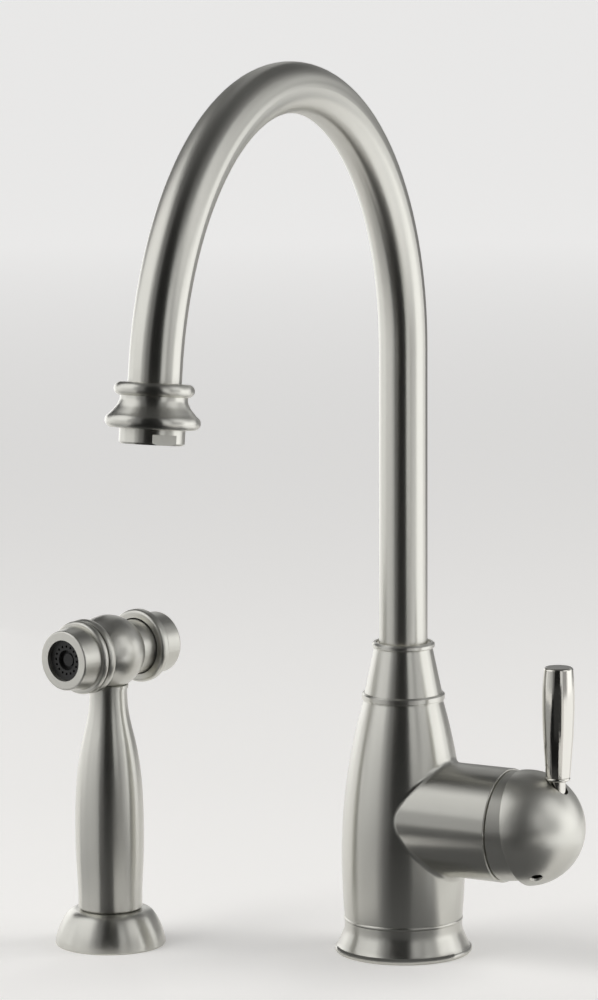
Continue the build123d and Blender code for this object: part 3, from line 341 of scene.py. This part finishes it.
tilt = math.radians(9.0)  # the shut handle looks up by this much
handleWay = (math.cos(tilt), 0.0, math.sin(tilt))
# on the round forms of the ball and the spray's head the wheel crossed its own marks, so they gleam
# more evenly, in soft broad patches
ballGloss = {"roughness": 0.37, "anisotropic": 0.35}
headGloss = {"roughness": 0.33, "anisotropic": 0.5}
upright = aboutLine((0.0, 0.0, 0.0), up)
sprayUpright = aboutLine((spray["middle"][0], spray["middle"][1], 0.0), up)
satinBody = satinNickel("satinNickelBody", bodyField)
satinTurned = satinNickel("satinNickelTurned", upright)
satinGooseneck = satinNickel("satinNickelGooseneck", bendField)
satinOutlet = satinNickel("satinNickelOutlet", aboutLine(*outletLine()))
satinHandle = satinNickel("satinNickelHandle", aboutLine(valve["middle"], handleWay), **ballGloss)
satinGrip = satinNickel("satinNickelGrip", sprayUpright)
satinHead = satinNickel("satinNickelHead", aboutLine(spray["middle"], spray["along"]), **headGloss)
brassUpright = turnedBrass("freeCuttingBrassTurned", upright)
brassSpray = turnedBrass("freeCuttingBrassSpray", sprayUpright)
brassHead = turnedBrass("freeCuttingBrassHead", aboutLine(spray["middle"], spray["along"]))
brassValve = turnedBrass("freeCuttingBrassValve", aboutLine(valve["middle"], valve["along"]))

slotMaterials = {"satin_nickel": satinTurned, "polished_nickel": polishedNickel(), "brass": brassUpright,
                 "steel": grainedMaterial("stainlessSteelTumbled"),
                 "dark_plastic": grainedMaterial("blackAcetalMoulded"),
                 "white_plastic": grainedMaterial("naturalAcetalMoulded"),
                 "ceramic": grainedMaterial("aluminaLapped"),
                 "rubber": grainedMaterial("nitrileRubberPressed")}
ownMaterials = {"body_shell": satinBody, "spout_tube": satinGooseneck, "outlet_body": satinOutlet,
                "aerator_shell": satinOutlet, "bonnet": satinHandle, "handle_ball": satinHandle,
                "spray_holder": satinGrip, "spray_grip": satinGrip, "neck_ring": satinGrip,
                "spray_head": satinHead, "nozzle_shell": satinHead, "push_button": satinHead,
                "holder_shank": brassSpray, "hose_connector": brassSpray, "valve_seat": brassHead,
                "valve_spool": brassHead, "cartridge_nut": brassValve}
for part in record["subparts"]:
    finish = ownMaterials.get(part["node"], slotMaterials[part["material_slot"]])
    obj = nodes[part["node"]]
    obj.data.materials.clear()
    obj.data.materials.append(finish)
print("metal, plastic and rubber finishes made")


# the button's return spring, a copy of its solid with the points merged, which moves with the wand
spring = {"node": "trigger_spring", "fixedEnd": (-0.12442, -0.04414, 0.1373), "travel": 0.005,
          "merge": 0.000001}


def makeSpring():
    mesh = nodes[spring["node"]].data.copy()
    work = bmesh.new()
    work.from_mesh(mesh)
    bmesh.ops.remove_doubles(work, verts=work.verts, dist=spring["merge"])
    work.to_mesh(mesh)
    work.free()
    obj = bpy.data.objects.new("return_spring", mesh)
    bpy.context.scene.collection.objects.link(obj)
    points = np.empty(3 * len(mesh.vertices))
    mesh.vertices.foreach_get("co", points)
    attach(obj, "wand")
    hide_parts(spring["node"])
    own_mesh(obj)


makeSpring()


# a pale floor, an even room, two soft lamps, and bright boards and dark cards that only the metal mirrors:
# they light nothing, so they are painted highlights and painted dark reflections
studio = {"floor": "#f2f0ed", "floorRoughness": 0.8, "farEdge": 30.0,
          "floorGlow": 0.17, "farGlow": 0.52, "glowFrom": 0.4, "glowTo": 3.6,    # metres from the object
          "horizon": 0.60, "zenith": 0.09, "fadeFrom": 0.3, "fadeTo": 0.95,      # how far up the room dims
          "cameraSide": camera["azimuth"], "panelRadius": 0.9, "panelSteps": 25,
          "clothLift": 0.0012, "clothStep": 0.0004}
panels = {  # azimuths from the camera's side, heights, brightness: upright, hidden from the camera; painted highlights and painted dark bands that only the metal's reflections show
    "cardSlot": ((-27, 14), (0.0, 2.2), 0.015),
    "boardLeft1": ((-40, -27), (0.0, 1.1), 0.20),
    "boardLeft2": ((-52, -40), (0.0, 0.9), 0.42),
    "boardLeft3": ((-68, -52), (0.0, 0.33), 0.58),
    "boardLeft4": ((-90, -68), (0.0, 0.33), 0.72),
    "boardLeft5": ((-128, -90), (0.0, 0.5), 1.05),
    "boardLeft6": ((-165, -128), (0.0, 0.5), 1.35),
    "boardLeftHigh": ((-112, -52), (0.33, 1.6), 1.15),
    "cardBackLeft": ((-166, -120), (0.42, 1.7), 0.05),
    "boardFront1": ((14, 31), (0.0, 0.8), 0.82),
    "boardFront2": ((31, 58), (0.0, 0.8), 0.40),
    "boardRight": ((66, 106), (0.0, 0.45), 1.5),
    "boardRightEdge": ((106, 124), (0.0, 0.55), 0.9),
    "cardBackRight": ((124, 178), (0.0, 0.55), 0.25),
    "cardBackHigh": ((132, 176), (0.72, 1.7), 0.12),
    "boardRightHigh": ((44, 88), (0.45, 1.3), 1.05),
    "boardRightBack": ((98, 120), (0.2, 0.5), 1.3),
}
floorPanels = {  # azimuths, radii, brightness, middle: lying sheets seen only in the metal, dark ones in front of, under and round the object that paint dark reflections and shade into what it mirrors of the floor, and a bright board that paints a highlight
    "clothNear": ((-34, 14), (0.04, 0.25), 0.02, (0.0, 0.0)),
    "clothFar": ((-34, 14), (0.25, 0.9), 0.01, (0.0, 0.0)),
    "clothSprayNear": ((-34, 14), (0.035, 0.12), 0.06, (-0.126, -0.053)),
    "clothSprayFar": ((-34, 14), (0.12, 0.9), 0.01, (-0.126, -0.053)),
    "clothHousing": ((-108, 50), (0.0, 0.11), 0.11, (0.062, 0.0)),
    "clothBall": ((-58, 50), (0.11, 0.24), 0.07, (0.062, 0.0)),
    "clothHousingLeft": ((-71, -58), (0.11, 0.32), 0.16, (0.062, 0.0)),
    "clothSprayLeft": ((-115, -34), (0.06, 0.5), 0.40, (-0.126, -0.053)),
    "boardFloor": ((40, 118), (0.2, 0.9), 1.20, (0.0, 0.0)),
}
# a dark card between the lever and the camera, hidden from the camera: a painted dark reflection in the lever
leverCard = {"azimuths": (-34, 20), "radius": 0.25, "heights": (0.03, 0.11), "level": 0.04,
             "middle": (0.079, 0.0)}
lamps = {"lampLeft": (-75, 50, 11.0), "lampRight": (95, 35, 10.0)}  # azimuth, elevation, watts
lampShape = {"distance": 1.6, "size": 1.0, "aim": (0.0, 0.0, 0.1)}


def glowMaterial(name, level):
    m, t = emptyMaterial(name)
    glow = add(t, "ShaderNodeEmission", {"Color": (1, 1, 1, 1), "Strength": level})
    add(t, "ShaderNodeOutputMaterial", links={"Surface": glow.outputs["Emission"]})
    m.cycles.emission_sampling = "NONE"
    return m


def stagePiece(name, grid, finish):
    # a sheet through rows of points, with its finish
    rows, cols = grid.shape[:2]
    index = np.arange(rows * cols).reshape(rows, cols)
    faces = np.stack([index[:-1, :-1], index[:-1, 1:], index[1:, 1:], index[1:, :-1]], -1).reshape(-1, 4)
    mesh = bpy.data.meshes.new(name)
    mesh.from_pydata(grid.reshape(-1, 3).tolist(), [], faces.tolist())
    obj = bpy.data.objects.new(name, mesh)
    bpy.context.scene.collection.objects.link(obj)
    mesh.materials.append(finish)
    return obj


def onlyMirrored(obj):
    obj.visible_camera = False
    obj.visible_diffuse = False
    obj.visible_shadow = False


def ringPart(azimuths, radii, heights, centre=(0.0, 0.0)):
    # x = cx + r sin a, y = cy - r cos a, with r and z given at the two edges
    turns = np.linspace(*azimuths, studio["panelSteps"])
    a, k = np.meshgrid(np.radians(studio["cameraSide"] + turns), np.array([0.0, 1.0]))
    r = radii[0] + k * (radii[1] - radii[0])
    z = heights[0] + k * (heights[1] - heights[0])
    return np.stack([centre[0] + r * np.sin(a), centre[1] - r * np.cos(a), z], -1)


def paleFloor():
    # the camera and mirror-like surfaces see the floor with a glow of its own, which leaves its shadow
    # on it and grows with the distance, where the lamps no longer reach
    m, t = emptyMaterial("paleFloor")
    path = add(t, "ShaderNodeLightPath")
    seen = path.outputs["Is Camera Ray"]
    for ray in ("Is Glossy Ray", "Is Transmission Ray"):
        seen = add(t, "ShaderNodeMath", {"operation": "MAXIMUM"}, {0: seen, 1: path.outputs[ray]}).outputs[0]
    place = add(t, "ShaderNodeTexCoord").outputs["Object"]
    away = add(t, "ShaderNodeVectorMath", {"operation": "LENGTH"}, {0: place}).outputs["Value"]
    level = add(t, "ShaderNodeMapRange", {"From Min": studio["glowFrom"], "From Max": studio["glowTo"],
                                          "To Min": studio["floorGlow"], "To Max": studio["farGlow"]},
                {"Value": away}).outputs["Result"]
    glow = add(t, "ShaderNodeMath", {"operation": "MULTIPLY"}, {0: seen, 1: level})
    closeMaterial(t, {"Base Color": toLinear(studio["floor"]), "Roughness": studio["floorRoughness"],
                      "Emission Color": (1, 1, 1, 1)},
                  {"Emission Strength": glow.outputs[0]})
    return m


def makeRoom():
    world = bpy.data.worlds.new("studio")
    bpy.context.scene.world = world
    world.use_nodes = True
    t = world.node_tree
    t.nodes.clear()
    place = add(t, "ShaderNodeTexCoord")
    split = add(t, "ShaderNodeSeparateXYZ", links={"Vector": place.outputs["Generated"]})
    fade = add(t, "ShaderNodeMapRange", {"From Min": studio["fadeFrom"], "From Max": studio["fadeTo"],
                                         "To Min": studio["horizon"], "To Max": studio["zenith"]},
               {"Value": split.outputs["Z"]})
    back = add(t, "ShaderNodeBackground", {"Color": (1, 1, 1, 1)}, {"Strength": fade.outputs["Result"]})
    add(t, "ShaderNodeOutputWorld", links={"Surface": back.outputs["Background"]})


def makeStage():
    corner = np.array([-studio["farEdge"], studio["farEdge"]])
    x, y = np.meshgrid(corner, corner)
    stagePiece("floor", np.stack([x, y, 0 * x], -1), paleFloor())
    makeRoom()
    radius, lift = studio["panelRadius"], studio["clothLift"]
    # upright sheets seen only in the metal: they light nothing and cast no shadow, so their glow is painted
    # highlight and painted dark reflection
    for name, (azimuths, heights, level) in panels.items():
        panel = ringPart(azimuths, (radius, radius), heights)
        onlyMirrored(stagePiece(name, panel, glowMaterial(name, level)))
    leverRadii = (leverCard["radius"], leverCard["radius"])
    card = ringPart(leverCard["azimuths"], leverRadii, leverCard["heights"], leverCard["middle"])
    onlyMirrored(stagePiece("cardLever", card, glowMaterial("cardLever", leverCard["level"])))
    # the lying sheets are hidden from the camera, the light and shadows: painted shade, painted dark
    # reflections and one painted highlight in the floor that the metal mirrors
    for name, (azimuths, radii, level, middle) in floorPanels.items():
        cloth = ringPart(azimuths, radii, (lift, lift), middle)
        onlyMirrored(stagePiece(name, cloth, glowMaterial(name, level)))
        lift += studio["clothStep"]  # so that two cloths never lie in one plane


def makeLamp(name, azimuth, elevation, watts):
    towards = direction(studio["cameraSide"] + azimuth, elevation)
    data = bpy.data.lights.new(name, "AREA")
    data.shape = "SQUARE"
    data.size = lampShape["size"]
    data.energy = watts
    obj = bpy.data.objects.new(name, data)
    turn = towards.to_track_quat("Z", "Y").to_matrix().to_4x4()
    obj.matrix_world = Matrix.Translation(Vector(lampShape["aim"]) + towards * lampShape["distance"]) @ turn
    obj.visible_camera = False
    obj.visible_glossy = False
    bpy.context.scene.collection.objects.link(obj)


makeStage()
for name, (azimuth, elevation, watts) in lamps.items():
    makeLamp(name, azimuth, elevation, watts)
print("stage lit")
